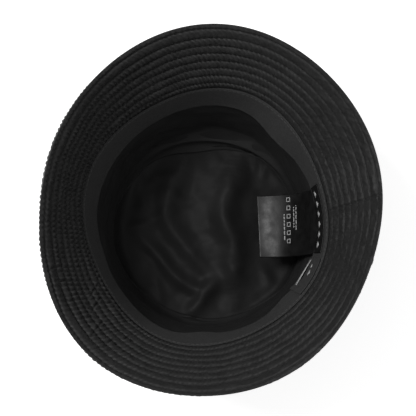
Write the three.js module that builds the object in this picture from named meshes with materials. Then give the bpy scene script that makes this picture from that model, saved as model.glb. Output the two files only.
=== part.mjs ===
// A soft quilted nylon bucket hat, lying on its crown with the head opening up.
// Millimetres. +Z points up out of the head opening, +X is the back of the hat, +Y is one side.
// The origin is the centre of the crown tip's flat outer face, which the hat rests on.
import * as THREE from 'three';

// Driving dimensions of the shape. The half sizes are from the centre to the outer face of the cloth.
const HEAD_HALF_X = 91;      // head opening, front to back
const HEAD_HALF_Y = 96;      // head opening, side to side
const TIP_HALF_X = 75;       // crown tip, front to back
const TIP_HALF_Y = 79;       // crown tip, side to side
const CROWN_DEPTH = 88;      // from the tip's outer face to the head seam
const BRIM_WIDTH = 55;       // from the head seam to the brim's edge, along the cloth
const BRIM_RISE_DEG = 57;    // mean slope of the brim above the horizontal

// The soft hat isn't quite regular: each wave is [waves round the hat, size, angle of its crest].
const OPENING_WAVES_MM = [[3, 0.45, 60], [4, 1.9, -19]];
const BRIM_WAVES_DEG = [[1, 5, 170], [2, 5.2, -21], [3, 1.6, 50], [4, 2.8, -18], [5, 1.1, -22]];

// Cloth, and the clearance between one layer and the next.
const CLOTH = 0.6;
const LINING_CLOTH = 0.5;
const GAP = 0.35;
const LINING_EASE = 0.8;     // the loose lining's distance from the outer cloth
const SEAM_LAP = 0.3;        // how far from the head seam the brim's layers start

// Quilting rows round the brim.
const ROW_COUNT = 7;
const FIRST_ROW = 4.4;       // from the head seam
const ROW_PITCH = 6.8;
const EDGE_ROW = 53;
const CHANNEL_HALF_WIDTH = 1.2;
const CHANNEL_DEPTH = 0.25;
const THREAD_HALF = 0.2;

// Sweatband: a tape sewn in at the head seam, whose free edge stands off the wall.
const BAND_TOP = CROWN_DEPTH - 0.4;
const BAND_WIDTH = 25;
const BAND_CLOTH = 0.8;
const BAND_TOP_INSET = 2.3;
const BAND_FREE_INSET = 4;
// Where the free edge leans further in: each fold is [angle, lean, half width in degrees].
const BAND_FOLDS = [[48, 6.5, 15], [150, 1.5, 16], [267, 3.2, 11], [317, 2.5, 10]];
const BAND_ROW_DROP = 1.8;   // its stitch row, below its top edge

// Topstitch rows on the outside of the crown.
const TIP_ROW_HEIGHT = 4;
const CROWN_ROW_HEIGHT = CROWN_DEPTH - 3.5;

// Labels at the back. Angles are round the hat from +X.
const LABEL_CLOTH = 0.5;
const BRAND_ANGLES_DEG = [-17, 17.5];
const BRAND_HEIGHTS = [66, 81];
const SIDE_ANGLES_DEG = [-38.5, -19.5];
const SIDE_HEIGHTS = [61, 85];
const CARE_WIDTH = 48;
const CARE_CLOTH = 0.8;      // two plies, folded at the free end
const CARE_ROOT = new THREE.Vector3(77.5, -2, 59.5);
const CARE_REACH = 38.5;      // from its sewn edge towards the middle of the hat
const CARE_DROP = 30;
const CARE_ROOT_REACH = 12.5; // where the bend's two tangents meet
const CARE_STEPS = 12;

// Facets.
const SEGMENTS = 48;         // round the hat
const BAND_STEPS = 3;        // down the sweatband
const BRAND_FACETS = 8;      // along each label
const SIDE_FACETS = 5;

const hat = new THREE.Group();
const BLACK_NYLON = { color: 0x1b1b1d, roughness: 0.62, metalness: 0 };
const BLACK_LINING = { color: 0x161618, roughness: 0.5, metalness: 0 };
const BLACK_TAPE = { color: 0x19191a, roughness: 0.85, metalness: 0 };
const BLACK_THREAD = { color: 0x202022, roughness: 0.7, metalness: 0 };
const BLACK_SATIN = { color: 0x111112, roughness: 0.3, metalness: 0 };
const STIFFENER = { color: 0x2a2a2c, roughness: 0.9, metalness: 0 };

function addPiece(name, geometry, finish) {
  const mesh = new THREE.Mesh(geometry, new THREE.MeshStandardMaterial(finish));
  mesh.name = name;
  hat.add(mesh);
}

function sumOfWaves(waves, angle) {
  return waves.reduce(
    (sum, [count, size, crestDeg]) =>
      sum + size * Math.cos(count * (angle - THREE.MathUtils.degToRad(crestDeg))),
    0,
  );
}

// A point of the crown: `inset` is how far inside the outer face it lies.
function crownPoint(angle, height, inset) {
  const share = height / CROWN_DEPTH;
  const wave = sumOfWaves(OPENING_WAVES_MM, angle) * share;
  const halfX = THREE.MathUtils.lerp(TIP_HALF_X, HEAD_HALF_X, share) + wave - inset;
  const halfY = THREE.MathUtils.lerp(TIP_HALF_Y, HEAD_HALF_Y, share) + wave - inset;
  return [halfX * Math.cos(angle), halfY * Math.sin(angle), height];
}

// A point of the brim: `across` runs from the head seam to the edge, `depth` from the outer face
// of the upper cloth towards the underside that faces up into the funnel.
function brimPoint(angle, across, depth) {
  const slopeDeg = BRIM_RISE_DEG + sumOfWaves(BRIM_WAVES_DEG, angle);
  const slope = THREE.MathUtils.degToRad(slopeDeg);
  const [x, y, z] = crownPoint(angle, CROWN_DEPTH, 0);
  const out = across * Math.cos(slope) - depth * Math.sin(slope);
  const up = across * Math.sin(slope) + depth * Math.cos(slope);
  return [x + out * Math.cos(angle), y + out * Math.sin(angle), z + up];
}

// Moves each vertex of a geometry to where `place` puts its own three coordinates.
function bend(geometry, place) {
  const position = geometry.attributes.position;
  for (let i = 0; i < position.count; i += 1) {
    position.setXYZ(i, ...place(position.getX(i), position.getY(i), position.getZ(i)));
  }
  geometry.computeVertexNormals();
  return geometry;
}

// Turns a section round the hat. Its points are [a, b] pairs, which `place(angle, a, b)` puts in
// the hat's frame, and it closes on itself, or runs from axis to axis when `closed` is false.
function revolve(section, place, closed = true) {
  const shift = closed ? 100 : 0; // keeps a closed section clear of the axis while it is turned
  const points = section.map(([a, b]) => new THREE.Vector2(a + shift, b));
  if (closed) points.push(points[0].clone());
  return bend(new THREE.LatheGeometry(points, SEGMENTS), (x, y, z) =>
    place(Math.atan2(x, z), Math.hypot(x, z) - shift, y),
  );
}

function rectangle(a0, a1, b0, b1) {
  return [[a0, b0], [a1, b0], [a1, b1], [a0, b1]];
}

function diamond(a, b, half) {
  return [[a - half, b], [a, b - half], [a + half, b], [a, b + half]];
}

// How far inside the crown's outer face the sweatband's back lies.
function bandInset(angle, height) {
  const lean = BAND_FOLDS.reduce((sum, [foldDeg, size, halfWidthDeg]) => {
    const turns = Math.sin((angle - THREE.MathUtils.degToRad(foldDeg)) / 2) * 2;
    return sum + size * Math.exp(-((THREE.MathUtils.radToDeg(turns) / halfWidthDeg) ** 2));
  }, BAND_FREE_INSET);
  return THREE.MathUtils.lerp(BAND_TOP_INSET, lean, (BAND_TOP - height) / BAND_WIDTH);
}

function makeCrown() {
  const wall = rectangle(-CLOTH, 0, CLOTH + GAP, CROWN_DEPTH - 0.2);
  const placeWall = (angle, out, height) => crownPoint(angle, height, -out);
  addPiece('crown_side', revolve(wall, placeWall), BLACK_NYLON);

  // Discs are drawn one unit across and stretched to the tip's oval.
  const placeDisc = (inset) => (angle, share, height) => {
    const [x, y] = crownPoint(angle, 0, inset);
    return [x * share, y * share, height];
  };
  const tip = [[0, 0], [1, 0], [1, CLOTH], [0, CLOTH]];
  addPiece('crown_tip', revolve(tip, placeDisc(0.1), false), BLACK_NYLON);

  const floor = CLOTH * 2;
  const liningInset = CLOTH + LINING_EASE;
  const liningWall = rectangle(-liningInset - LINING_CLOTH, -liningInset, floor, BAND_TOP - 0.2);
  addPiece('lining_side', revolve(liningWall, placeWall), BLACK_LINING);
  const top = floor + LINING_CLOTH;
  const liningTip = [[0, floor], [1, floor], [1, top], [0, top]];
  const tipInset = liningInset + LINING_CLOTH + GAP;
  addPiece('lining_tip', revolve(liningTip, placeDisc(tipInset), false), BLACK_LINING);
}

function makeBrim() {
  const layerStart = (order) => order * (CLOTH + GAP);
  const underFace = layerStart(2) + CLOTH;
  const lipTop = layerStart(1) + CLOTH;
  const lipStart = BRIM_WIDTH - CLOTH;
  const rows = Array.from({ length: ROW_COUNT }, (_, i) => FIRST_ROW + i * ROW_PITCH);
  rows.push(EDGE_ROW);
  // A layer's face is broken at every row, so that it follows the brim's twist.
  const face = (a0, a1, depth) => [a0, ...rows, a1].map((a) => [a, depth]);

  const upper = [
    ...face(SEAM_LAP, BRIM_WIDTH, 0), [BRIM_WIDTH, lipTop], [lipStart, lipTop],
    ...face(SEAM_LAP, lipStart, CLOTH).reverse(),
  ];
  addPiece('brim_upper', revolve(upper, brimPoint), BLACK_NYLON);

  const stiffenerSpan = [SEAM_LAP * 2, lipStart - GAP];
  const stiffener = [
    ...face(...stiffenerSpan, layerStart(1)),
    ...face(...stiffenerSpan, lipTop).reverse(),
  ];
  addPiece('brim_interlining', revolve(stiffener, brimPoint), STIFFENER);

  const channels = rows.toReversed().flatMap((row) => [
    [row + CHANNEL_HALF_WIDTH, underFace],
    [row, underFace - CHANNEL_DEPTH],
    [row - CHANNEL_HALF_WIDTH, underFace],
  ]);
  const under = [
    ...face(SEAM_LAP, BRIM_WIDTH, layerStart(2)), [BRIM_WIDTH, underFace],
    ...channels, [SEAM_LAP, underFace],
  ];
  addPiece('brim_under', revolve(under, brimPoint), BLACK_NYLON);

  const threadDepth = underFace - CHANNEL_DEPTH + GAP + THREAD_HALF;
  rows.forEach((row, i) => {
    const name = i < ROW_COUNT ? `brim_stitch_row_${i + 1}` : 'brim_edge_stitch';
    const section = diamond(row, threadDepth, THREAD_HALF);
    addPiece(name, revolve(section, brimPoint), BLACK_THREAD);
  });
}

function makeSweatband() {
  const placeBand = (angle, out, height) => crownPoint(angle, height, bandInset(angle, height) - out);
  const heights = Array.from({ length: BAND_STEPS + 1 }, (_, i) =>
    BAND_TOP - BAND_WIDTH * (1 - i / BAND_STEPS));
  const band = [
    ...heights.map((height) => [0, height]),
    ...heights.toReversed().map((height) => [-BAND_CLOTH, height]),
  ];
  addPiece('sweatband', revolve(band, placeBand), BLACK_TAPE);
  const clear = BAND_CLOTH + GAP + THREAD_HALF;
  const stitch = diamond(-clear, BAND_TOP - BAND_ROW_DROP, THREAD_HALF);
  addPiece('sweatband_stitch', revolve(stitch, placeBand), BLACK_THREAD);
}

function makeCrownTopstitch() {
  const placeOutside = (angle, out, height) => crownPoint(angle, height, -out);
  const out = GAP + THREAD_HALF;
  const tipRow = diamond(out, TIP_ROW_HEIGHT, THREAD_HALF);
  addPiece('crown_tip_topstitch', revolve(tipRow, placeOutside), BLACK_THREAD);
  const seamRow = diamond(out, CROWN_ROW_HEIGHT, THREAD_HALF);
  addPiece('crown_base_topstitch', revolve(seamRow, placeOutside), BLACK_THREAD);
}

// A flat label lying along the sweatband between two angles and two heights.
function labelOnBand(anglesDeg, heights, facets) {
  const patch = new THREE.BoxGeometry(1, 1, 1, facets, 1, 1);
  return bend(patch, (x, y, z) => {
    const angle = THREE.MathUtils.degToRad(THREE.MathUtils.lerp(...anglesDeg, 0.5 - x));
    const height = THREE.MathUtils.lerp(...heights, y + 0.5);
    const inset = bandInset(angle, height) + BAND_CLOTH + GAP + (z + 0.5) * LABEL_CLOTH;
    return crownPoint(angle, height, inset);
  });
}

// The care label leaves the wall steeply and bends to lie level at its free end.
function makeCareLabel() {
  const centreLine = new THREE.QuadraticBezierCurve(
    new THREE.Vector2(0, 0),
    new THREE.Vector2(-CARE_ROOT_REACH, -CARE_DROP),
    new THREE.Vector2(-CARE_REACH, -CARE_DROP),
  );
  const side = (offset) => Array.from({ length: CARE_STEPS + 1 }, (_, i) => {
    const share = i / CARE_STEPS;
    const along = centreLine.getTangent(share);
    const normal = new THREE.Vector2(-along.y, along.x);
    return centreLine.getPoint(share).addScaledVector(normal, offset);
  });
  const outline = [...side(-CARE_CLOTH / 2), ...side(CARE_CLOTH / 2).reverse()];
  const geometry = new THREE.ExtrudeGeometry(new THREE.Shape(outline), {
    depth: CARE_WIDTH,
    bevelEnabled: false,
  });
  geometry.translate(0, 0, -CARE_WIDTH / 2);
  geometry.rotateX(Math.PI / 2); // the section's own up becomes +Z, and its width lies along Y
  geometry.translate(CARE_ROOT.x, CARE_ROOT.y, CARE_ROOT.z);
  addPiece('care_label', geometry, BLACK_SATIN);
}

makeCrown();
makeBrim();
makeSweatband();
makeCrownTopstitch();
addPiece('brand_label', labelOnBand(BRAND_ANGLES_DEG, BRAND_HEIGHTS, BRAND_FACETS), BLACK_SATIN);
addPiece('side_label', labelOnBand(SIDE_ANGLES_DEG, SIDE_HEIGHTS, SIDE_FACETS), BLACK_SATIN);
makeCareLabel();

export default hat;
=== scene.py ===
"""A soft black quilted nylon bucket hat lying on its crown, with the head opening up.

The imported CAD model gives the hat's place and size. Each of its soft solids is replaced here by a
detailed piece of the same cloth: quilted brim, crown, lining, sweatband, labels and stitches.
Lengths are millimetres until a mesh is made. Angles run round the hat from +X, its back.
"""

import math

import bpy
import numpy as np
from mathutils import Matrix, Vector


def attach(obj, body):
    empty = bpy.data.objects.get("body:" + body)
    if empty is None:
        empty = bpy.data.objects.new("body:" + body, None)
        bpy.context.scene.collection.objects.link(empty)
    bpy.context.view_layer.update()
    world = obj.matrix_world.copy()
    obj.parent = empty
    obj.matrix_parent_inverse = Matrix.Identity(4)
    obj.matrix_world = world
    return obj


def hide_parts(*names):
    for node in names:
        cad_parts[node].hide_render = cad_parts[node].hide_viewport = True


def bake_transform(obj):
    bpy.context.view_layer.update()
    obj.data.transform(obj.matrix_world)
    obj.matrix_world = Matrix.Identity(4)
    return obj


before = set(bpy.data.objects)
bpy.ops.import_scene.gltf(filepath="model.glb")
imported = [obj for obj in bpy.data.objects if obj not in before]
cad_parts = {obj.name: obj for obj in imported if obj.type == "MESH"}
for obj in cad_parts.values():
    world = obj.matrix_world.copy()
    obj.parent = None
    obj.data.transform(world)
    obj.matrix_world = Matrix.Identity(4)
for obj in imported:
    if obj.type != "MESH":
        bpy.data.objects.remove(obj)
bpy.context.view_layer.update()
MM = 0.001

# ------------------------------------------------------------ driving dimensions, as in the CAD

HEAD_HALF_X = 91.0
HEAD_HALF_Y = 96.0
TIP_HALF_X = 75.0
TIP_HALF_Y = 79.0
CROWN_DEPTH = 88.0
BRIM_WIDTH = 55.0
BRIM_RISE_DEG = 57.0
# The soft hat isn't quite regular: (waves round the hat, size, angle of the crest).
OPENING_WAVES_MM = [(3, 0.45, 60), (4, 1.9, -19)]
BRIM_WAVES_DEG = [(1, 5, 170), (2, 5.2, -21), (3, 1.6, 50), (4, 2.8, -18), (5, 1.1, -22)]

CLOTH = 0.6
BRIM_THICKNESS = 2.5
STIFFENER_DEPTHS = (0.7, 1.2)
FIRST_ROW, ROW_PITCH = 4.4, 6.8
QUILT_ROWS = [FIRST_ROW + ROW_PITCH * i for i in range(7)]
EDGE_ROW = 53.0

BAND_TOP = 87.6
BAND_WIDTH = 25.0
BAND_CLOTH = 0.8
BAND_TOP_INSET = 2.3
BAND_FREE_INSET = 4.0
BAND_ROW = 1.8               # of the stitches, below the top edge
# Where the sweatband's free edge leans inwards: (angle, lean, half width in degrees).
BAND_FOLDS = [(48, 6.5, 15), (150, 1.5, 16), (267, 3.2, 11), (317, 2.5, 10)]

BACK_SEAM_DEG = 1.7          # at the head seam
BACK_SEAM_LEAN_DEG = 2.2     # how much further round it is at the brim's edge
BRIM_RADIUS = 108.0          # of the middle of the brim, which sets lengths round it
HEAD_RADIUS = 93.0
TIP_RADIUS = 77.0
LABEL_RADIUS = 84.5
STITCH_PITCH = 3.55

# ------------------------------------------------------------ shape of the hat


def wave_sum(waves, angle):
    return sum(size * np.cos(n * (angle - math.radians(crest))) for n, size, crest in waves)


def turn_between(angle, centre_deg):
    """Degrees from centre_deg to each angle, smooth all round the hat."""
    return np.degrees(2 * np.sin((angle - math.radians(centre_deg)) / 2))


def bumps(angle, folds, base=0.0):
    """base, and a smooth bump for each (angle, size, half width)."""
    total = base + np.zeros_like(angle, dtype=float)
    for centre, size, half_width in folds:
        total = total + size * np.exp(-((turn_between(angle, centre) / half_width) ** 2))
    return total


def smoothstep(low, high, x):
    t = np.clip((x - low) / (high - low), 0, 1)
    return t * t * (3 - 2 * t)


def crown_point(angle, height, inset):
    share = height / CROWN_DEPTH
    wave = wave_sum(OPENING_WAVES_MM, angle) * share
    half_x = TIP_HALF_X + (HEAD_HALF_X - TIP_HALF_X) * share + wave - inset
    half_y = TIP_HALF_Y + (HEAD_HALF_Y - TIP_HALF_Y) * share + wave - inset
    x, y = half_x * np.cos(angle), half_y * np.sin(angle)
    return np.stack([x, y, height + np.zeros_like(x)], axis=-1)


def brim_point(angle, across, depth):
    """`across` runs from the head seam to the edge, `depth` from the outside to the underside."""
    slope = np.radians(BRIM_RISE_DEG + wave_sum(BRIM_WAVES_DEG, angle))
    out = across * np.cos(slope) - depth * np.sin(slope)
    up = across * np.sin(slope) + depth * np.cos(slope)
    base = crown_point(angle + 0 * out, CROWN_DEPTH, 0.0)
    return base + np.stack([out * np.cos(angle), out * np.sin(angle), up], axis=-1)


# ------------------------------------------------------------ noise


def lattice_noise(u, v, cells_round, seed):
    """Smooth noise from -1 to 1, one cell a unit, repeating after cells_round cells of u."""
    table = np.random.default_rng(seed).uniform(-1, 1, (cells_round, 512))
    iu, iv = np.floor(u).astype(int), np.floor(v).astype(int)
    fu, fv = u - iu, v - iv
    su, sv = fu * fu * (3 - 2 * fu), fv * fv * (3 - 2 * fv)

    def corner(du, dv):
        return table[(iu + du) % cells_round, (iv + dv) % 512]

    low = corner(0, 0) * (1 - su) + corner(1, 0) * su
    high = corner(0, 1) * (1 - su) + corner(1, 1) * su
    return low * (1 - sv) + high * sv


def round_noise(angle, along, cells_round, cell, seed):
    """Noise on the cloth: cells_round cells round the hat, and one for each `cell` mm along."""
    return lattice_noise(angle / math.tau * cells_round, along / cell, cells_round, seed)


def plane_noise(x, y, cell, seed):
    return lattice_noise(x / cell, y / cell, 512, seed)


# ------------------------------------------------------------ meshes


def make_piece(name, points, faces, uvs=None):
    """An object from points in mm, faces, and a UV in mm for each corner of each face."""
    mesh = bpy.data.meshes.new(name)
    mesh.from_pydata((points.reshape(-1, 3) * MM).tolist(), [], faces)
    if uvs is not None:
        layer = mesh.uv_layers.new(name="cloth")
        layer.data.foreach_set("uv", (uvs * MM).astype(np.float32).ravel())
    mesh.polygons.foreach_set("use_smooth", [True] * len(mesh.polygons))
    mesh.update()
    piece = bpy.data.objects.new(name, mesh)
    bpy.context.scene.collection.objects.link(piece)
    return piece


def grid_faces(rows, columns, wrap_rows, wrap_columns):
    """Quads of a grid of points numbered row by row, and each corner's (row, column) unwrapped."""
    i, j = np.meshgrid(
        np.arange(rows if wrap_rows else rows - 1),
        np.arange(columns if wrap_columns else columns - 1),
        indexing="ij",
    )
    i, j = i.ravel(), j.ravel()
    corners = [(i, j), (i + 1, j), (i + 1, j + 1), (i, j + 1)]
    faces = np.stack([(a % rows) * columns + b % columns for a, b in corners], axis=1)
    return faces, np.stack([np.stack(c, axis=1) for c in corners], axis=1)


def angles(count):
    return np.arange(count) * math.tau / count


def ring_shell(name, points, radius):
    """A closed shell round the hat: points[i, j] is point j of the section at angle i."""
    rows, columns = points.shape[:2]
    faces, corners = grid_faces(rows, columns, True, True)
    girth = np.arange(rows + 1) * math.tau * radius / rows
    steps = np.linalg.norm(np.diff(points[0], axis=0, append=points[:1, 0]), axis=1)
    along = np.concatenate([[0.0], np.cumsum(steps)])
    uvs = np.stack([girth[corners[..., 0]], along[corners[..., 1]]], axis=-1)
    return make_piece(name, points, faces.tolist(), uvs)


def disc_shell(name, front, back):
    """A closed disc. front and back are points [angle, step] from the rim to the centre, whose
    last step is the same point at every angle. front faces up."""
    rounds, steps = front.shape[0], front.shape[1] - 1
    rings = [front[:, :-1].reshape(-1, 3), back[:, :-1].reshape(-1, 3)]
    points = np.concatenate(rings + [front[:1, -1], back[:1, -1]])
    size = rounds * steps
    quads, _ = grid_faces(rounds, steps, True, False)
    here, following = np.arange(rounds), (np.arange(rounds) + 1) % rounds
    last_here, last_next = here * steps + steps - 1, following * steps + steps - 1
    rim_here, rim_next = here * steps, following * steps
    fan = np.stack([last_here, last_next, np.full(rounds, 2 * size)], axis=1)
    back_fan = np.stack([last_next + size, last_here + size, np.full(rounds, 2 * size + 1)], axis=1)
    rim = np.stack([rim_here, rim_here + size, rim_next + size, rim_next], axis=1)
    faces = (
        quads.tolist() + (quads[:, ::-1] + size).tolist() + rim.tolist()
        + fan.tolist() + back_fan.tolist()
    )
    corners = np.concatenate([np.asarray(face) for face in faces])
    return make_piece(name, points, faces, points[corners, :2])


def slab(name, columns, rows, thickness, place, size):
    """A closed sheet. place(u, v, lift) puts a point u and v mm along its flat sides and `lift` mm
    above its back face."""
    u, v = np.meshgrid(
        np.linspace(0, size[0], columns), np.linspace(0, size[1], rows), indexing="ij"
    )
    sides = [place(u, v, thickness), place(u, v, 0.0)]
    points = np.concatenate([side.reshape(-1, 3) for side in sides])
    quads, corners = grid_faces(columns, rows, False, False)
    count = columns * rows
    index = np.arange(count).reshape(columns, rows)
    edge = np.concatenate([index[:-1, 0], index[-1, :-1], index[:0:-1, -1], index[0, :0:-1]])
    after = np.roll(edge, -1)
    rim = np.stack([after, edge, edge + count, after + count], axis=1)
    faces = quads.tolist() + (quads[:, ::-1] + count).tolist() + rim.tolist()
    flat = np.tile(np.stack([u, v], axis=-1).reshape(-1, 2), (2, 1))
    return make_piece(name, points, faces, flat[np.asarray(faces).ravel()])


# ------------------------------------------------------------ materials


def shader(name, colour, roughness, specular, sheen=0.0):
    """A new Principled material: its nodes, a function that links sockets, and the shader."""
    material = bpy.data.materials.new(name)
    material.use_nodes = True
    nodes, links = material.node_tree.nodes, material.node_tree.links
    principled = nodes["Principled BSDF"]
    principled.inputs["Base Color"].default_value = (*colour, 1)
    principled.inputs["Roughness"].default_value = roughness
    principled.inputs["Specular IOR Level"].default_value = specular
    principled.inputs["Sheen Weight"].default_value = sheen
    principled.inputs["Sheen Roughness"].default_value = 0.45
    return material, nodes, links, principled


def noise_node(nodes, links, scale_mm, detail=3.0):
    """Procedural noise with features about scale_mm across."""
    place = nodes.new("ShaderNodeTexCoord")
    noise = nodes.new("ShaderNodeTexNoise")
    noise.inputs["Scale"].default_value = 1 / (scale_mm * MM)
    noise.inputs["Detail"].default_value = detail
    links.new(place.outputs["Object"], noise.inputs["Vector"])
    return noise.outputs["Fac"]


def thread_wave(nodes, links, pitch_mm, direction, uv_turn_deg=0.0):
    """Ridges of yarn at a pitch along U or V of the cloth's own UV map, 0 to 1."""
    uv = nodes.new("ShaderNodeUVMap")
    uv.uv_map = "cloth"
    mapping = nodes.new("ShaderNodeMapping")
    mapping.inputs["Rotation"].default_value[2] = math.radians(uv_turn_deg)
    links.new(uv.outputs["UV"], mapping.inputs["Vector"])
    wave = nodes.new("ShaderNodeTexWave")
    wave.bands_direction = direction
    wave.inputs["Scale"].default_value = math.pi / 10 / (pitch_mm * MM)
    links.new(mapping.outputs["Vector"], wave.inputs["Vector"])
    return wave.outputs["Fac"]


def mix_values(nodes, links, a, b, operation="MULTIPLY"):
    joined = nodes.new("ShaderNodeMath")
    joined.operation = operation
    links.new(a, joined.inputs[0])
    links.new(b, joined.inputs[1])
    return joined.outputs[0]


def add_bump(nodes, links, principled, height, distance_mm, strength=1.0):
    """Bump whose height of 1 is distance_mm, on top of any bump that is already there."""
    bump = nodes.new("ShaderNodeBump")
    bump.inputs["Distance"].default_value = distance_mm * MM
    bump.inputs["Strength"].default_value = strength
    links.new(height, bump.inputs["Height"])
    if principled.inputs["Normal"].links:
        links.new(principled.inputs["Normal"].links[0].from_socket, bump.inputs["Normal"])
    links.new(bump.outputs["Normal"], principled.inputs["Normal"])


def vary(nodes, links, principled, source, socket, low, high):
    """Drives a shader input from a 0 to 1 pattern, between two values or two colours."""
    ramp = nodes.new("ShaderNodeValToRGB")
    ends = [(v, v, v, 1) if isinstance(v, float) else (*v, 1) for v in (low, high)]
    ramp.color_ramp.elements[0].position = 0.3
    ramp.color_ramp.elements[1].position = 0.7
    for element, colour in zip(ramp.color_ramp.elements, ends):
        element.color = colour
    links.new(source, ramp.inputs["Fac"])
    links.new(ramp.outputs["Color"], principled.inputs[socket])


def grey(value, tint=0.0):
    """A grey, a little cooler for a positive tint."""
    return (value, value * (1 + tint * 0.3), value * (1 + tint))


def nylon(name, shade, crinkle_mm):
    """Crinkled plain-woven nylon: fine square weave, soft crinkles, uneven dye."""
    material, nodes, links, principled = shader(name, grey(shade), 0.5, 0.22, 0.03)
    blotch = noise_node(nodes, links, 9.0, 4.0)
    vary(nodes, links, principled, blotch, "Base Color", grey(shade * 0.85), grey(shade * 1.15))
    rubbed = noise_node(nodes, links, 4.0, 3.0)
    vary(nodes, links, principled, rubbed, "Roughness", 0.46, 0.6)
    add_bump(nodes, links, principled, noise_node(nodes, links, 1.7, 2.0), crinkle_mm)
    warp = thread_wave(nodes, links, 0.34, "X")
    weft = thread_wave(nodes, links, 0.34, "Y")
    add_bump(nodes, links, principled, mix_values(nodes, links, warp, weft), 0.03)
    return material


def lining_cloth(name, shade):
    """Thin smooth taffeta with a faint silk-like gloss."""
    material, nodes, links, principled = shader(name, grey(shade), 0.5, 0.08, 0.01)
    blotch = noise_node(nodes, links, 14.0, 3.0)
    vary(nodes, links, principled, blotch, "Base Color", grey(shade * 0.9), grey(shade * 1.1))
    add_bump(nodes, links, principled, noise_node(nodes, links, 5.0, 3.0), 0.12)
    warp = thread_wave(nodes, links, 0.26, "X")
    weft = thread_wave(nodes, links, 0.26, "Y")
    add_bump(nodes, links, principled, mix_values(nodes, links, warp, weft), 0.004)
    return material


def twill_tape(name, shade):
    """Matt cotton twill tape: diagonal ribs with fuzz."""
    material, nodes, links, principled = shader(name, grey(shade), 0.9, 0.08, 0.03)
    fuzz = noise_node(nodes, links, 1.1, 4.0)
    vary(nodes, links, principled, fuzz, "Base Color", grey(shade * 0.75), grey(shade * 1.25))
    add_bump(nodes, links, principled, thread_wave(nodes, links, 0.62, "X", 38.0), 0.07)
    add_bump(nodes, links, principled, fuzz, 0.06)
    return material


def spun_thread(name, shade):
    """Twisted polyester sewing thread."""
    material, nodes, links, principled = shader(name, grey(shade), 0.55, 0.35, 0.1)
    ply = noise_node(nodes, links, 0.35, 2.0)
    vary(nodes, links, principled, ply, "Base Color", grey(shade * 0.7), grey(shade * 1.3))
    add_bump(nodes, links, principled, ply, 0.05)
    return material


def felt(name, shade):
    """Pressed non-woven stiffener."""
    material, nodes, links, principled = shader(name, grey(shade), 0.95, 0.1)
    fibres = noise_node(nodes, links, 0.8, 6.0)
    vary(nodes, links, principled, fibres, "Base Color", grey(shade * 0.6), grey(shade * 1.4))
    add_bump(nodes, links, principled, fibres, 0.15)
    return material


def satin(name, shade, roughness):
    """Label satin: long floats of yarn that gleam one way, with a fine rib across."""
    material, nodes, links, principled = shader(name, grey(shade), roughness, 0.42)
    cloudy = noise_node(nodes, links, 6.0, 2.0)
    vary(nodes, links, principled, cloudy, "Roughness", roughness * 0.85, roughness * 1.2)
    vary(nodes, links, principled, cloudy, "Base Color", grey(shade * 0.85), grey(shade * 1.15))
    add_bump(nodes, links, principled, thread_wave(nodes, links, 0.28, "Y"), 0.003)
    add_bump(nodes, links, principled, cloudy, 0.05)
    return material


def woven_white(name, shade):
    """Pale woven or printed marks."""
    material, nodes, links, principled = shader(name, grey(shade), 0.7, 0.3)
    yarn = noise_node(nodes, links, 0.5, 2.0)
    vary(nodes, links, principled, yarn, "Base Color", grey(shade * 0.8), grey(shade))
    add_bump(nodes, links, principled, yarn, 0.04)
    return material


SHELL_NYLON = nylon("shell_nylon", 0.013, 0.16)
QUILT_NYLON = nylon("quilted_nylon", 0.0188, 0.2)
LINING = lining_cloth("lining_taffeta", 0.0148)
# The wall's lining is the same taffeta as the tip's, painted lighter: painted light standing in for
# light that reaches the wall.
LINING_WALL_PAINTED_LIGHTER = lining_cloth("lining_wall_taffeta_painted_lighter", 0.021)
TAPE = twill_tape("sweatband_twill", 0.042)
THREAD = spun_thread("black_thread", 0.007)
BAND_THREAD = spun_thread("grey_thread", 0.05)
STIFFENER = felt("stiffener_felt", 0.03)
SATIN = satin("care_label_satin", 0.005, 0.45)
LABEL_WEAVE = satin("brand_label_satin", 0.006, 0.45)
PALE_YARN = woven_white("pale_yarn", 0.5)


def finish_piece(piece, material, body, slot, *nodes):
    """Gives a piece its material and the body it rides on, and hides the CAD nodes it replaces.
    slot is not used.
    """
    piece.data.materials.append(material)
    if body:
        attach(piece, body)
    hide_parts(*nodes)
    return piece


# ------------------------------------------------------------ quilting

# Each stitch of a row draws the cloth in, so the gathers across the ribs have the stitches' pitch.
GATHERS_ROUND = round(math.tau * BRIM_RADIUS / STITCH_PITCH)
# How strongly each part of the brim is gathered: (angle, size, half width in degrees).
GATHERS = [(182, 0.42, 38), (222, 0.35, 24), (102, 0.36, 36), (140, 0.22, 25), (15, -0.1, 40)]
GATHER_BASE = 0.22
# Where the ribs between the rows lie flatter or stand fuller.
RIB_FULLNESS = [(-18, -0.85, 28), (34, -0.85, 25), (9.5, 0.5, 6), (172, 1.1, 52)]
STRAIGHT_DEG = 172           # here the gathers cross the ribs squarely; either side they lean
MOST_LEAN = 0.95             # gathers from one row to the next
RIB_HEIGHT = 1.25
CHANNEL_DEPTH, CHANNEL_HALF = 1.1, 0.6
RIM = BRIM_WIDTH + 1.9       # where the under and upper cloths meet at the thin edge
RIM_CLOSING = 1.6            # how far the upper cloth comes in to meet the under cloth there
CLOSES_FROM = 52.5           # where it starts to come in
FADES_FROM = 54.6            # where the quilting starts to die away towards the rim
ROLL = 0.4                   # of each cloth over the rim
ROLL_DEPTH = 0.45
# Pairs for the upper and the under cloth.
LEAST_STANDING = (-0.4, -1.0)    # how low each may dip, clear of the stiffener
LINED_DEPTHS = (0.55, 1.35)      # of each cloth's face inside the brim
LINED_TO = (52.5, 53.5)          # how far out from the head seam that face lies flat
LINED_MIDDLE = 28.0
LIP_DEPTHS = (1.9, 2.15)         # of the same face close to the rim
LIP_WIDTH = 0.5
# The under cloth's seam allowance turns down behind the sweatband: (across, depth) on its faces.
ALLOWANCE_FRONT = [(-2.4, 0.35), (-0.9, 1.5)]
ALLOWANCE_BACK = [(-1.0, 0.95), (-2.4, -0.05)]
BRIM_COLUMNS = 1000
UNDER_SEED, UPPER_SEED = 11, 31
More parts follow.
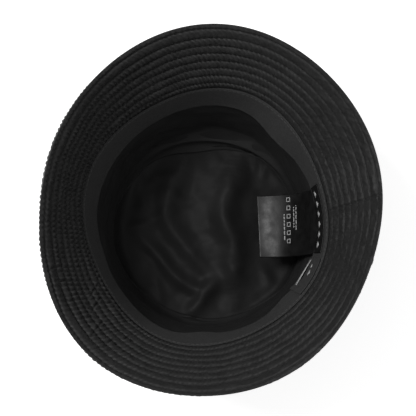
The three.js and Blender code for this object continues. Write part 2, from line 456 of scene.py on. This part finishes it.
# Where the brim's mesh has points: close together at the rows, where the cloth dips into channels.
RIB_STEPS = np.array([0.0, 0.4, 0.85, 1.5, 2.4, 3.4, 4.4, 5.3, 5.95, 6.4])
ACROSS = np.concatenate(
    [[0.3, 0.9, 1.5, 2.2, 2.9, 3.55, 4.0]]
    + [row + RIB_STEPS for row in QUILT_ROWS]
    + [[52.1, 52.6, 53.0, 53.4, 53.8, 54.5, 55.2, 55.9], np.linspace(RIM - ROLL, RIM, 5)]
)
# Deep tucks at one side: (angle, across) of their ends.
TUCK_DEPTH = 1.7
TUCKS = [
    ((227.5, 47), (225.5, 21)), ((220.5, 28), (217.0, 11)), ((216.0, 26), (211.0, 4)),
    ((232.5, 41), (234.0, 24)), ((201.5, 56), (200.0, 38)), ((172.5, 52), (170.5, 12)),
    ((160.5, 32), (159.5, 14)), ((205.0, 50), (207.5, 30)), ((236.5, 22), (238.5, 8)),
]


def segment_distance(x, y, a, b):
    """Distance from each (x, y) to the line from a to b, and the share of the way along it."""
    step = np.subtract(b, a)
    share = np.clip(((x - a[0]) * step[0] + (y - a[1]) * step[1]) / (step @ step), 0, 1)
    return np.hypot(x - a[0] - share * step[0], y - a[1] - share * step[1]), share


def tucks(angle, across):
    """Depth of the deep tucks."""
    depth = np.zeros_like(across)
    for (start_deg, start), (end_deg, end) in TUCKS:
        round_mm = np.radians(turn_between(angle, (start_deg + end_deg) / 2)) * BRIM_RADIUS
        half = math.radians(start_deg - end_deg) / 2 * BRIM_RADIUS
        gap, share = segment_distance(round_mm, across, (half, start), (-half, end))
        fade = np.sin(math.pi * np.clip(share, 0.04, 0.96)) ** 0.5
        depth = depth + fade * (np.exp(-((gap / 0.8) ** 2)) - 0.4 * np.exp(-((gap / 2.6) ** 2)))
    return depth


def quilt_relief(angle, across, seed):
    """How far the quilted cloth stands off its plane at each point of the brim. Each noise has its
    own number of cells round the hat, and its own cell in mm out from the head seam."""
    knots = np.array([0.0, *QUILT_ROWS, EDGE_ROW, RIM + 1.0])
    heights = np.array([0.6] + [1.0] * (len(QUILT_ROWS) - 1) + [0.85, 0.45]) * RIB_HEIGHT
    rib = np.clip(np.searchsorted(knots, across, side="right") - 1, 0, len(knots) - 2)
    share = np.clip((across - knots[rib]) / (knots[rib + 1] - knots[rib]), 0, 1)
    puff = np.sin(math.pi * share) ** 0.5
    off_row = np.abs(across[..., None] - knots[1:-1]).min(axis=-1)
    channel = CHANNEL_DEPTH * np.exp(-((off_row / CHANNEL_HALF) ** 2))
    full = bumps(angle, RIB_FULLNESS, 1.0) * (1 + 0.25 * round_noise(angle, across, 48, 9.0, seed))

    rows_out = (across - BRIM_WIDTH / 2) / ROW_PITCH
    lean = MOST_LEAN * np.tanh(2.2 * np.sin(angle - math.radians(STRAIGHT_DEG)) ** 3)
    warp = 0.25 * round_noise(angle, across, 54, 11.0, seed + 2)
    wander = 0.8 * round_noise(angle, across, 9, 120.0, seed + 3)
    phase = angle / math.tau * GATHERS_ROUND + lean * rows_out + warp + wander
    hollow = (0.5 + 0.5 * np.cos(math.tau * phase)) ** 2.0

    ragged = 1 + 0.5 * round_noise(angle, across, 150, 6.8, seed + 4)
    outer_band = np.where(rib >= len(QUILT_ROWS), 0.6, 1.0)
    gather = np.clip(bumps(angle, GATHERS, GATHER_BASE) * ragged * outer_band, 0, 1)
    puffed = full * (heights[rib] * puff - channel)
    pinched = 2.0 * gather * (0.35 - hollow) * (0.2 + 0.8 * puff)
    crepe = 0.16 * round_noise(angle, across, 480, 1.5, seed + 5)
    crumple = bumps(angle, [(5, 0.16, 50)], 0.24) * round_noise(angle, across, 210, 3.1, seed + 6)
    crumple = crumple * (0.35 + 0.65 * puff)
    slant = np.where(turn_between(angle, BACK_SEAM_DEG) > 0, 0.007, -0.007)
    wrinkle = (1 - np.abs(round_noise(angle + across * slant, across, 170, 3.8, seed + 8))) ** 6
    wrinkle = bumps(angle, [(-2, 0.5, 38)], 0.25) * wrinkle * (0.3 + 0.7 * puff)
    swell = 0.5 * round_noise(angle, across, 26, 21.0, seed + 7) * smoothstep(0, 12, across)
    return puffed + pinched + crumple + wrinkle + crepe + swell - TUCK_DEPTH * tucks(angle, across)


def off_back_seam(angle, radius, lean_deg=0.0):
    """Distance round the hat from the back seam, for a seam that leans."""
    return np.radians(turn_between(angle - np.radians(lean_deg), BACK_SEAM_DEG)) * radius


def back_seam(off):
    """Turned-in cloth either side of the back seam, with the seam's groove between."""
    return 0.35 * np.exp(-((off / 2.4) ** 2)) - 1.2 * np.exp(-((off / 0.65) ** 2))


def seam_calm(off):
    """How much quilting shows: the cloth lies smooth along one side of the back seam."""
    return 1 - 0.8 * np.exp(-(((off + 5.5) / 5.0) ** 2))


def brim_standing(angle, across, seed):
    """The relief of a brim cloth, which dies away at the head seam and rolls over at the rim."""
    off = off_back_seam(angle, BRIM_RADIUS, BACK_SEAM_LEAN_DEG * across / BRIM_WIDTH)
    relief = quilt_relief(angle, across, seed) * seam_calm(off) + back_seam(off)
    relief = np.maximum(relief, LEAST_STANDING[seed == UNDER_SEED])
    relief = relief * smoothstep(0.3, 1.7, across) * (1 - smoothstep(FADES_FROM, RIM, across))
    bend = np.clip((across - RIM + ROLL) / ROLL, 0, 1)
    return relief - ROLL_DEPTH * (1 - np.sqrt(1 - bend**2))


def brim_cloth(name, is_under):
    """A brim cloth's closed shell: out along the face that shows, round the rim, and back inside
    the brim. The under cloth starts and ends with its seam allowance."""
    across, angle = np.meshgrid(ACROSS, angles(BRIM_COLUMNS))
    if is_under:
        depth = BRIM_THICKNESS + brim_standing(angle, across, UNDER_SEED)
    else:
        closing = RIM_CLOSING * smoothstep(CLOSES_FROM, RIM, across)
        depth = closing - brim_standing(angle, across, UPPER_SEED)
    before = ALLOWANCE_FRONT if is_under else []
    after = [(RIM - LIP_WIDTH, LIP_DEPTHS[is_under])]
    after += [(a, LINED_DEPTHS[is_under]) for a in (LINED_TO[is_under], LINED_MIDDLE, ACROSS[0])]
    after += ALLOWANCE_BACK if is_under else []
    ends = [np.tile(np.reshape(pairs, (-1, 2)), (BRIM_COLUMNS, 1, 1)) for pairs in (before, after)]
    section = np.concatenate([ends[0], np.stack([across, depth], axis=-1), ends[1]], axis=1)
    points = brim_point(angle[:, :1], section[..., 0], section[..., 1])
    return ring_shell(name, points if is_under else points[:, ::-1], BRIM_RADIUS)


def stitches(place, radius_mid, half_length=1.4, radius=0.3, pitch=STITCH_PITCH):
    """Points and faces of lockstitches round the hat. place(angle, side, lift) puts a point of
    the thread, `side` across the row and `lift` off the cloth."""
    count = round(math.tau * radius_mid / pitch)
    stations = np.array([-1.0, -0.86, -0.45, 0.0, 0.45, 0.86, 1.0])
    fatness = np.array([0.25, 0.75, 1.0, 1.0, 1.0, 0.75, 0.25])[None, :, None]
    sides = 6
    around = angles(sides)[None, None, :]
    reach = (stations * half_length / radius_mid)[None, :, None]
    angle = angles(count)[:, None, None] + reach + 0 * around
    side = radius * fatness * np.cos(around) + 0 * angle
    arch = (0.16 * (1 - stations**2) - 0.1)[None, :, None]
    lift = radius * fatness * np.sin(around) + arch + 0 * angle
    points = place(angle, side, lift).reshape(-1, 3)
    quads, _ = grid_faces(len(stations), sides, False, True)
    size = len(stations) * sides
    start = (np.arange(count) * size)[:, None, None]
    caps = np.array([np.arange(sides)[::-1], size - sides + np.arange(sides)])
    faces = (quads[None] + start).reshape(-1, 4).tolist()
    return points, faces + (caps[None] + start).reshape(-1, sides).tolist()


def stitch_piece(name, *groups):
    """One piece from several groups of stitches."""
    points, faces = [], []
    for group_points, group_faces in groups:
        shift = sum(len(p) for p in points)
        points.append(group_points)
        faces += [[v + shift for v in face] for face in group_faces]
    return make_piece(name, np.concatenate(points), faces)


def brim_row(name, row):
    """The stitches of one quilting row, on the underside and on the outside of the brim."""
    radius = HEAD_RADIUS + row * math.cos(math.radians(BRIM_RISE_DEG))

    def on_under(angle, side, lift):
        level = BRIM_THICKNESS + brim_standing(angle, row + 0 * angle, UNDER_SEED)
        return brim_point(angle, row + side, level + lift)

    def on_upper(angle, side, lift):
        level = brim_standing(angle, row + 0 * angle, UPPER_SEED)
        return brim_point(angle, row - side, -level - lift)

    return stitch_piece(name, stitches(on_under, radius), stitches(on_upper, radius))


def make_brim():
    under = finish_piece(
        brim_cloth("brim_under_cloth", True), QUILT_NYLON, "hat", "nylon_quilted", "brim_under"
    )
    upper = finish_piece(
        brim_cloth("brim_upper_cloth", False), SHELL_NYLON, "hat", "nylon_shell", "brim_upper"
    )
    out = np.linspace(0.6, LINED_TO[0] - 0.1, 20)
    across, angle = np.meshgrid(np.concatenate([out, out[::-1]]), angles(240))
    deep = np.repeat(STIFFENER_DEPTHS[::-1], len(out))
    points = brim_point(angle, across, deep + 0 * across)
    core = finish_piece(
        ring_shell("brim_stiffener", points, BRIM_RADIUS),
        STIFFENER, "hat", "interlining", "brim_interlining",
    )
    rows = [
        (f"brim_quilting_{i}", row, f"brim_stitch_row_{i}") for i, row in enumerate(QUILT_ROWS, 1)
    ]
    rows.append(("brim_edge_stitching", EDGE_ROW, "brim_edge_stitch"))
    for name, row, node in rows:
        finish_piece(brim_row(name, row), THREAD, "hat", "thread", node)


# ------------------------------------------------------------ crown

TIP_ROW_HEIGHT = 4.0
CROWN_ROW_HEIGHT = CROWN_DEPTH - 3.5
TIP_CLOTH = 0.55


def crown_relief(angle, height):
    """Soft wrinkles of the crown's outer cloth, and gathers where its seams pull it."""
    sag = 1.1 * round_noise(angle, height, 11, 26.0, 51)
    crease = 1 - np.abs(round_noise(angle + height * 0.004, height, 17, 34.0, 52))
    creases = 0.8 * crease**6
    small = 0.3 * round_noise(angle, height, 70, 7.0, 53)
    gathered = np.sin(angle * 118 + 2.5 * round_noise(angle, height, 30, 20.0, 54))
    pull = 0.28 * np.exp(-(height / 6) ** 2) + 0.28 * np.exp(-((CROWN_DEPTH - height) / 7) ** 2)
    free = smoothstep(0, 10, height) * smoothstep(0, 9, CROWN_DEPTH - height)
    return (sag + creases) * free + small * smoothstep(0, 3, height) + pull * gathered


def crown_standing(angle, height):
    """Relief with grooves at the two topstitch rows, rolled in at both seams."""
    relief = crown_relief(angle, height) + back_seam(off_back_seam(angle, HEAD_RADIUS))
    for row in (TIP_ROW_HEIGHT, CROWN_ROW_HEIGHT):
        relief = relief - 0.3 * np.exp(-(((height - row) / 0.9) ** 2))
    roll = 1.3 * np.clip(1 - height / 2.2, 0, 1) ** 2
    roll = roll + 0.9 * np.clip(1 - (CROWN_DEPTH - height) / 1.6, 0, 1) ** 2
    ease = smoothstep(0, 1.5, height) * smoothstep(0, 1.5, CROWN_DEPTH - height)
    return np.maximum(relief, -0.25) * ease - roll


def make_crown():
    outer = np.linspace(CROWN_DEPTH - 0.2, 0.25, 92)
    inner = np.linspace(0.9, CROWN_DEPTH - 0.6, 10)
    height, angle = np.meshgrid(np.concatenate([outer, inner]), angles(840))
    inset = -crown_standing(angle, height)
    inset[:, len(outer):] = CLOTH
    side = ring_shell("crown_side_cloth", crown_point(angle, height, inset), HEAD_RADIUS)
    finish_piece(side, SHELL_NYLON, "hat", "nylon_shell", "crown_side")

    step, angle = np.meshgrid(np.linspace(0, 1, 70), angles(420))
    share = 1 - step
    rim = crown_point(angle, 0.0, 1.15)
    x, y = rim[..., 0] * share, rim[..., 1] * share
    lift = 0.28 * (1 + plane_noise(x, y, 22.0, 61)) + 0.1 * (1 + plane_noise(x, y, 6.0, 62))
    lift = lift * smoothstep(0.0, 0.12, step) + 0.35 * np.exp(-((step / 0.02) ** 2))
    top, bottom = (np.stack([x, y, lift + thick], axis=-1) for thick in (TIP_CLOTH, 0.0))
    tip = disc_shell("crown_tip_cloth", top, bottom)
    finish_piece(tip, SHELL_NYLON, "hat", "nylon_shell", "crown_tip")

    for name, row, node in (
        ("tip_topstitching", TIP_ROW_HEIGHT, "crown_tip_topstitch"),
        ("crown_topstitching", CROWN_ROW_HEIGHT, "crown_base_topstitch"),
    ):
        def on_crown(angle, side, lift, row=row):
            return crown_point(angle, row + side, -crown_standing(angle, row + 0 * angle) - lift)

        radius = TIP_RADIUS + (HEAD_RADIUS - TIP_RADIUS) * row / CROWN_DEPTH
        piece = stitch_piece(name, stitches(on_crown, radius))
        finish_piece(piece, THREAD, "hat", "thread", node)


# ------------------------------------------------------------ lining

LINING_FACE = 1.9            # of the lining wall's inner face, inside the outer cloth's face
LINING_FLOOR = 1.7
LINING_CLOTH = 0.45
# How far the lining's tip seam has climbed the wall, or slid in over the floor where negative.
SEAM_CLIMB_BASE = -0.5
SEAM_CLIMB = [(97, -13, 27), (188, 18, 27), (-22, 14, 22), (68, -3, 14), (248, -3, 30)]
SEAM_GAP = 0.15
# How rounded the lining is where its wall meets its floor: it slumps at one side.
CORNER_BASE = 4.0
CORNER_SLUMP = [(90, 4.5, 45), (200, 1.0, 40), (285, 2.0, 28)]
# Crest lines of the folds across the lining's tip: height, half width at either end, and points.
FOLDS = [
    (5.8, 11.0, 6.0, [
        (-15, 66), (-20, 50), (-28, 34), (-34, 18), (-33, 4), (-25, -7), (-16, -17), (-7, -29),
        (2, -36),
    ]),
    (6.5, 10.0, 8.5, [(25, 66), (22, 40), (12, 18), (13, 4), (21, -10), (21, -36), (20, -60)]),
    (4.8, 6.0, 6.0, [(-56, -6), (-43, -18), (-32, -33), (-20, -45), (-8, -50), (4, -45)]),
    (4.6, 6.0, 6.0, [(6, -40), (-2, -53), (-15, -70)]),
    (1.8, 6.0, 5.0, [(-70, 3), (-58, 1), (-48, 4), (-39, 9)]),
    (2.0, 7.0, 6.0, [(-60, 56), (-59, 44), (-55, 28), (-50, 14)]),
    (2.0, 5.0, 5.0, [(42, -32), (50, -48)]),
    (1.6, 4.0, 4.0, [(-42, -42), (-38, -60)]),
    (1.8, 3.4, 3.0, [(38, 62), (37, 46)]),
    (1.8, 3.4, 3.0, [(47, 54), (44, 42)]),
    (5.0, 22.0, 18.0, [(12, 66), (8, 30), (10, 0), (16, -40)]),
]


def softplus(x, width):
    return width * np.logaddexp(0.0, x / width)


def fold_profile(x, y, points, first_half, last_half):
    """A soft fold 1 high along a rounded line through the points, dying away at its ends."""
    line = np.array(points, dtype=float)
    for _ in range(3):  # cuts the corners, keeping the ends
        cut_a = line[:-1] * 0.75 + line[1:] * 0.25
        cut_b = line[:-1] * 0.25 + line[1:] * 0.75
        cuts = np.stack([cut_a, cut_b], axis=1).reshape(-1, 2)
        line = np.concatenate([line[:1], cuts, line[-1:]])
    total = np.zeros_like(x)
    lengths = np.hypot(*np.diff(line, axis=0).T)
    at = np.concatenate([[0.0], np.cumsum(lengths)]) / lengths.sum()
    for a, b, start, end in zip(line[:-1], line[1:], at[:-1], at[1:]):
        gap, share = segment_distance(x, y, a, b)
        along = start + (end - start) * share
        half_width = first_half + (last_half - first_half) * along
        end_fade = np.sin(math.pi * np.clip(along, 0, 1)) ** 0.6
        total = np.maximum(total, end_fade * np.exp(-((gap / half_width) ** 2)))
    return total


def tip_folds(x, y):
    """Height of the lining tip's folds."""
    total = 1.4 * plane_noise(x, y, 17.0, 71) + 0.45 * plane_noise(x, y, 7.0, 72)
    for height, first_half, last_half, points in FOLDS:
        total = total + height * fold_profile(x, y, points, first_half, last_half)
    return total


def lining_point(angle, climb, lift):
    """A point of the lining's inner face. climb is along the wall above its foot, and negative
    inwards over the floor. lift is off that face, into the hat."""
    corner = bumps(angle, CORNER_SLUMP, CORNER_BASE)
    height = LINING_FLOOR + softplus(climb, corner)
    inward = LINING_FACE + softplus(-climb, corner)
    wallness = 1 / (1 + np.exp(-np.clip(climb / corner, -40, 40)))
    foot = crown_point(angle, height, 0.0)
    radius = np.hypot(foot[..., 0], foot[..., 1])
    share = np.maximum(1 - (inward + lift * wallness) / radius, 0)
    up = height + lift * (1 - wallness)
    return np.stack([foot[..., 0] * share, foot[..., 1] * share, up], axis=-1)


def lining_lift(angle, climb):
    """Looseness of the lining: soft folds of its wall, and the long folds of its tip."""
    at = lining_point(angle, climb, 0.0)
    on_floor = smoothstep(6, -8, climb)
    folds = tip_folds(at[..., 0], at[..., 1]) * on_floor
    free = smoothstep(0, 25, climb) * smoothstep(64, 48, climb)
    slanted = climb + 9 * np.sin(5 * angle)
    drape = 1.2 * (1 + round_noise(angle, climb, 13, 17.0, 73))
    drape = (drape + 0.7 * (1 + round_noise(angle, slanted, 20, 8.0, 76))) * free
    off_crest = climb - 6.5 - 3.0 * round_noise(angle, 0 * climb, 16, 30.0, 75)
    crest = np.exp(-((off_crest / np.where(off_crest > 0, 4.5, 9.0)) ** 2))
    slump = bumps(angle, [(80, 11.0, 44)]) * crest
    small = 0.25 * (1 + round_noise(angle, climb, 60, 8.0, 74))
    small = small * smoothstep(87, 70, climb) * smoothstep(-6, 4, climb)
    return 1.0 * on_floor + folds + drape + slump + small


def make_lining():
    angle = angles(480)[:, None]
    seam = bumps(angle, SEAM_CLIMB, SEAM_CLIMB_BASE)

    def grooved(climb):
        """The angle at each point, and the lining's lift there with the groove of its tip seam."""
        grid_angle = angle + 0 * climb
        groove = 0.5 * np.exp(-(((climb - seam) / 0.8) ** 2))
        return grid_angle, lining_lift(grid_angle, climb) - groove

    top = BAND_TOP - 1.6
    climb = top + (seam - top) * np.linspace(0, 1, 96)
    grid_angle, lift = grooved(climb)
    front = lining_point(grid_angle, climb, lift)
    behind = climb[:, ::-6]
    grid_angle = angle + 0 * behind
    back = lining_point(grid_angle, behind, lining_lift(grid_angle, behind) - 0.5)
    wall = ring_shell("lining_wall", np.concatenate([front, back], axis=1), HEAD_RADIUS)
    # The wall takes the copy of the lining cloth that is painted lighter, as painted light.
    finish_piece(wall, LINING_WALL_PAINTED_LIGHTER, "hat", "lining", "lining_side")

    step = np.linspace(0, 1, 100)
    start = seam - SEAM_GAP
    foot = crown_point(angle, LINING_FLOOR, 0.0)
    middle = LINING_FACE - np.hypot(foot[..., 0], foot[..., 1])
    climb = start + (middle - start) * step
    grid_angle, lift = grooved(climb)
    lift = lift + (lift[:, -1:].mean() - lift) * smoothstep(0.985, 1.0, step)
    upper, lower = (lining_point(grid_angle, climb, lift - down) for down in (0.0, LINING_CLOTH))
    for side in (upper, lower):
        side[:, -1] = side[:, -1].mean(axis=0)
    tip = disc_shell("lining_tip_cloth", upper, lower)
    finish_piece(tip, LINING, "hat", "lining", "lining_tip")


# ------------------------------------------------------------ sweatband


def band_place(angle, drop, out):
    """A point of the sweatband, `drop` below its top edge and `out` from its back face."""
    lean = bumps(angle, BAND_FOLDS, BAND_FREE_INSET)
    inset = BAND_TOP_INSET + (lean - BAND_TOP_INSET) * drop / BAND_WIDTH
    wavy = 0.5 * round_noise(angle, drop, 24, 30.0, 81)
    wavy = wavy + 0.18 * round_noise(angle, drop, 90, 9.0, 82)
    inset = inset + wavy * smoothstep(0, BAND_WIDTH, drop) + out
    sag = 0.9 * round_noise(angle, 0 * drop, 9, 30.0, 83) * smoothstep(4, BAND_WIDTH, drop)
    return crown_point(angle, BAND_TOP - drop - sag, inset)


def make_sweatband():
    front = np.linspace(0, BAND_WIDTH, 34)
    roll = np.sqrt(1 - np.clip(1 - front / 0.7, 0, 1) ** 2)
    roll = roll * np.sqrt(1 - np.clip((front - BAND_WIDTH + 0.7) / 0.7, 0, 1) ** 2)
    back = np.linspace(BAND_WIDTH, 0, 10)
    drop, angle = np.meshgrid(np.concatenate([front, back]), angles(720))
    groove = 0.25 * np.exp(-(((drop - BAND_ROW) / 0.7) ** 2))
    edge_rib = 0.2 * np.exp(-(((drop - BAND_WIDTH + 1.2) / 1.0) ** 2))
    face = BAND_CLOTH * np.concatenate([roll, np.zeros(len(back))])[None, :]
    out = np.where(np.arange(drop.shape[1]) < len(front), face - groove + edge_rib, 0.0)
    band = ring_shell("sweatband_tape", band_place(angle, drop, np.maximum(out, 0)), HEAD_RADIUS)
    finish_piece(band, TAPE, "hat", "sweatband_tape", "sweatband")

    def on_band(angle, side, lift):
        return band_place(angle, BAND_ROW - side, BAND_CLOTH - 0.2 + lift)

    row = stitch_piece("sweatband_stitching", stitches(on_band, HEAD_RADIUS, radius=0.24))
    finish_piece(row, BAND_THREAD, "hat", "thread", "sweatband_stitch")


# ------------------------------------------------------------ labels

# Angles along the sweatband, and heights of the lower and upper edges.
BRAND_SPAN, BRAND_HEIGHTS = (-17, 15.5), (66.0, 81.0)
SIDE_SPAN, SIDE_HEIGHTS = (-38.5, -19.5), (61.0, 85.0)
TAPE_LABEL_CLOTH = 0.45

CARE_ROOT = Vector((77.5, -2.0, 59.5))     # where it comes out from under the sweatband
CARE_WIDTH = 48.0
CARE_CLOTH = 0.8
CARE_REACH = 38.5
CARE_DROP = 30.0
CARE_ROOT_REACH = 12.5
CARE_TUCK = 9.0              # how far it runs up behind the sweatband


def marks(name, place, shapes, face, height=0.12):
    """Raised flat marks on a label. Each shape is a list of (u, v) corners in mm, place(u, v, lift)
    puts a point on the label, and `face` is the lift of its face."""
    points, faces = [], []
    for shape in shapes:
        u, v = np.array(shape, dtype=float).T
        start, n = sum(len(p) for p in points), len(u)
        points += [place(u, v, face + height), place(u, v, face - 0.02)]
        ring = np.arange(n)
        after = (ring + 1) % n
        rim = np.stack([after, ring, n + ring, n + after], axis=1)
        faces += [(start + ring).tolist(), (start + n + ring[::-1]).tolist()]
        faces += (start + rim).tolist()
    return make_piece(name, np.concatenate(points), faces)


def bar(u0, v0, u1, v1):
    return [(u0, v0), (u1, v0), (u1, v1), (u0, v1)]


def diamond(u, v, half_u, half_v):
    return [(u - half_u, v), (u, v - half_v), (u + half_u, v), (u, v + half_v)]


def frame_bars(u, v, half, width):
    """A square outline from four bars."""
    return [
        bar(u - half, v - half, u + half, v - half + width),
        bar(u - half, v + half - width, u + half, v + half),
        bar(u - half, v - half, u - half + width, v + half),
        bar(u + half - width, v - half, u + half, v + half),
    ]


def label_on_band(angle_span, heights, standing):
    """A label along the sweatband, `standing` mm off it: its length, its width, and place(u, v,
    lift) for a point u mm round from its first angle and v mm up from its lower edge."""
    first = math.radians(angle_span[0])

    def place(u, v, lift):
        drop = BAND_TOP - heights[0] - v
        return band_place(first + u / LABEL_RADIUS, drop, BAND_CLOTH + standing + lift)

    length = math.radians(angle_span[1] - angle_span[0]) * LABEL_RADIUS
    return length, heights[1] - heights[0], place


def make_brand_label():
    """A woven label with a plain row of diamonds, on the sweatband at the back."""
    length, width, place = label_on_band(BRAND_SPAN, BRAND_HEIGHTS, 0.3)
    label = slab("brand_label_cloth", 60, 18, TAPE_LABEL_CLOTH, place, (length, width))
    finish_piece(label, LABEL_WEAVE, "hat", "woven_label", "brand_label")
    shapes = [diamond(length / 2 + 7.2 * (i - 2.5), 5.0, 2.5, 2.9) for i in range(6)]
    woven = marks("brand_label_diamonds", place, shapes, TAPE_LABEL_CLOTH)
    woven.data.materials.append(PALE_YARN)
    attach(woven, "hat")


def make_side_label():
    """A woven tab with a plain stripe and two diamonds, sewn to the sweatband by one edge."""
    length, width, place = label_on_band(SIDE_SPAN, SIDE_HEIGHTS, 0.5)
    label = slab("side_label_cloth", 30, 26, TAPE_LABEL_CLOTH, place, (length, width))
    finish_piece(label, TAPE, "side_label", "woven_label", "side_label")
    shapes = [bar(5.0, 2.2, length - 1.5, 5.6)]
    shapes += [diamond(length * 0.6, 11.5, 2.6, 2.6), diamond(length * 0.78, 10.5, 1.8, 1.8)]
    woven = marks("side_label_stripe", place, shapes, TAPE_LABEL_CLOTH)
    woven.data.materials.append(PALE_YARN)
    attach(woven, "side_label")


def care_line(along):
    """Points (x, z) and normals of the care label's centre line, `along` mm from its sewn end."""
    t = np.linspace(0, 1, 120)
    x = CARE_ROOT.x - 2 * t * (1 - t) * CARE_ROOT_REACH - t * t * CARE_REACH
    z = CARE_ROOT.z - (2 * t * (1 - t) + t * t) * CARE_DROP
    tuck = np.linspace(1, 0, 12)[:-1]
    x = np.concatenate([CARE_ROOT.x + tuck * CARE_TUCK * 0.72, x])
    z = np.concatenate([CARE_ROOT.z + tuck * CARE_TUCK, z])
    lengths = np.concatenate([[0.0], np.cumsum(np.hypot(np.diff(x), np.diff(z)))])
    tangent_x, tangent_z = np.gradient(x, lengths), np.gradient(z, lengths)
    at = [np.interp(along, lengths, column) for column in (x, z, -tangent_z, tangent_x)]
    return at, lengths[-1]


def care_place(along, side, lift):
    """A point of the care label: `side` mm from its first edge, `lift` above its upper face."""
    (x, z, normal_x, normal_z), length = care_line(along)
    curl = 0.5 * np.sin(side / CARE_WIDTH * math.pi * 2 + 0.6) * smoothstep(12, length, along)
    ripple = 0.7 * lattice_noise(side / 11.0, along / 16.0, 64, 91) * smoothstep(6, 26, along)
    off = lift + curl + ripple
    skew = (side / CARE_WIDTH - 0.5) * 2.0 * smoothstep(12, length, along)
    x = x - normal_x * off - skew
    y = CARE_ROOT.y - CARE_WIDTH / 2 + side
    return np.stack([x, y + 0 * x, z - normal_z * off], axis=-1)


def make_care_label():
    """A satin label printed with square outlines and plain bars, standing out over the lining."""
    _, length = care_line(np.zeros(1))

    def rounded(along, side, lift):
        """The label's cloth, which thins to a rounded end."""
        end = np.clip((along / length - 0.985) / 0.015, 0, 1)
        return care_place(along, side, (lift - CARE_CLOTH / 2) * np.sqrt(1 - end**2 * 0.96))

    label = slab("care_label_cloth", 110, 60, CARE_CLOTH, rounded, (length, CARE_WIDTH))
    finish_piece(label, SATIN, None, "satin_label", "care_label")
    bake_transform(label)
    shapes = []
    for i in range(6):
        shapes += frame_bars(length - 25.5, 12.0 + 6.4 * i, 1.7, 0.55)
    rng = np.random.default_rng(5)
    for from_end, begin, stop in ((21.5, 13, 33), (30.5, 22, 38), (33.0, 20, 39)):
        at, side = length - from_end, begin
        while side < stop:
            word = rng.uniform(1.4, 3.6)
            shapes.append(bar(at - 0.45, side, at + 0.45, min(side + word, stop)))
            side += word + 0.7
    printed = marks("care_label_print", care_place, shapes, CARE_CLOTH / 2, 0.06)
    printed.data.materials.append(PALE_YARN)
    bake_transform(printed)


# ------------------------------------------------------------ stage, light and camera


def make_stage():
    """A white paper floor that glows enough to stay plain, and an even white sky."""
    half = 3.0
    corners = [(-half, -half, 0), (half, -half, 0), (half, half, 0), (-half, half, 0)]
    mesh = bpy.data.meshes.new("floor")
    mesh.from_pydata(corners, [], [(0, 1, 2, 3)])
    floor = bpy.data.objects.new("floor", mesh)
    bpy.context.scene.collection.objects.link(floor)
    floor.location.z = -0.2 * MM
    material, _, _, principled = shader("floor_paper", grey(0.9), 0.9, 0.1)
    principled.inputs["Emission Color"].default_value = (1, 1, 1, 1)
    principled.inputs["Emission Strength"].default_value = 0.6
    floor.data.materials.append(material)

    world = bpy.data.worlds.new("studio")
    world.use_nodes = True
    background = world.node_tree.nodes["Background"]
    background.inputs["Color"].default_value = (1, 1, 1, 1)
    background.inputs["Strength"].default_value = 0.46
    bpy.context.scene.world = world
    bpy.context.scene.view_settings.view_transform = "Standard"


LIT_POINT = (0, 0, 0.1)


def area_light(name, place, size, power):
    """A round soft light aimed at the hat. Its place is in metres and its power in watts."""
    data = bpy.data.lights.new(name, "AREA")
    data.shape, data.size, data.energy = "DISK", size, power
    light = bpy.data.objects.new(name, data)
    bpy.context.scene.collection.objects.link(light)
    light.location = place
    aim = Vector(LIT_POINT) - Vector(place)
    light.rotation_euler = aim.to_track_quat("-Z", "Y").to_euler()


CAMERA_TARGET = Vector((1.8, 5.4, CROWN_DEPTH))
CAMERA_DISTANCE = 820.0
CAMERA_TILT_DEG = (1.65, -7.25)     # towards +X and +Y from straight above
CAMERA_LENS_MM = 97.75


def make_camera():
    data = bpy.data.cameras.new("camera")
    data.lens, data.sensor_width = CAMERA_LENS_MM, 36.0
    camera = bpy.data.objects.new("camera", data)
    bpy.context.scene.collection.objects.link(camera)
    tilt_x, tilt_y = (math.sin(math.radians(t)) for t in CAMERA_TILT_DEG)
    back = Vector((tilt_x, tilt_y, math.sqrt(1 - tilt_x**2 - tilt_y**2)))
    right = (-back).cross(Vector((0, 1, 0))).normalized()
    up = right.cross(-back)
    turn = Matrix((right, up, back)).transposed().to_4x4()
    camera.matrix_world = Matrix.Translation((CAMERA_TARGET + back * CAMERA_DISTANCE) * MM) @ turn
    bpy.context.scene.camera = camera


make_brim()
make_crown()
make_lining()
make_sweatband()
make_brand_label()
make_side_label()
make_care_label()
make_stage()
area_light("key", place=(-0.92, 0.42, 1.83), size=0.7, power=22.3)
area_light("fill", place=(0.9, -0.9, 1.5), size=1.0, power=2.8)
make_camera()
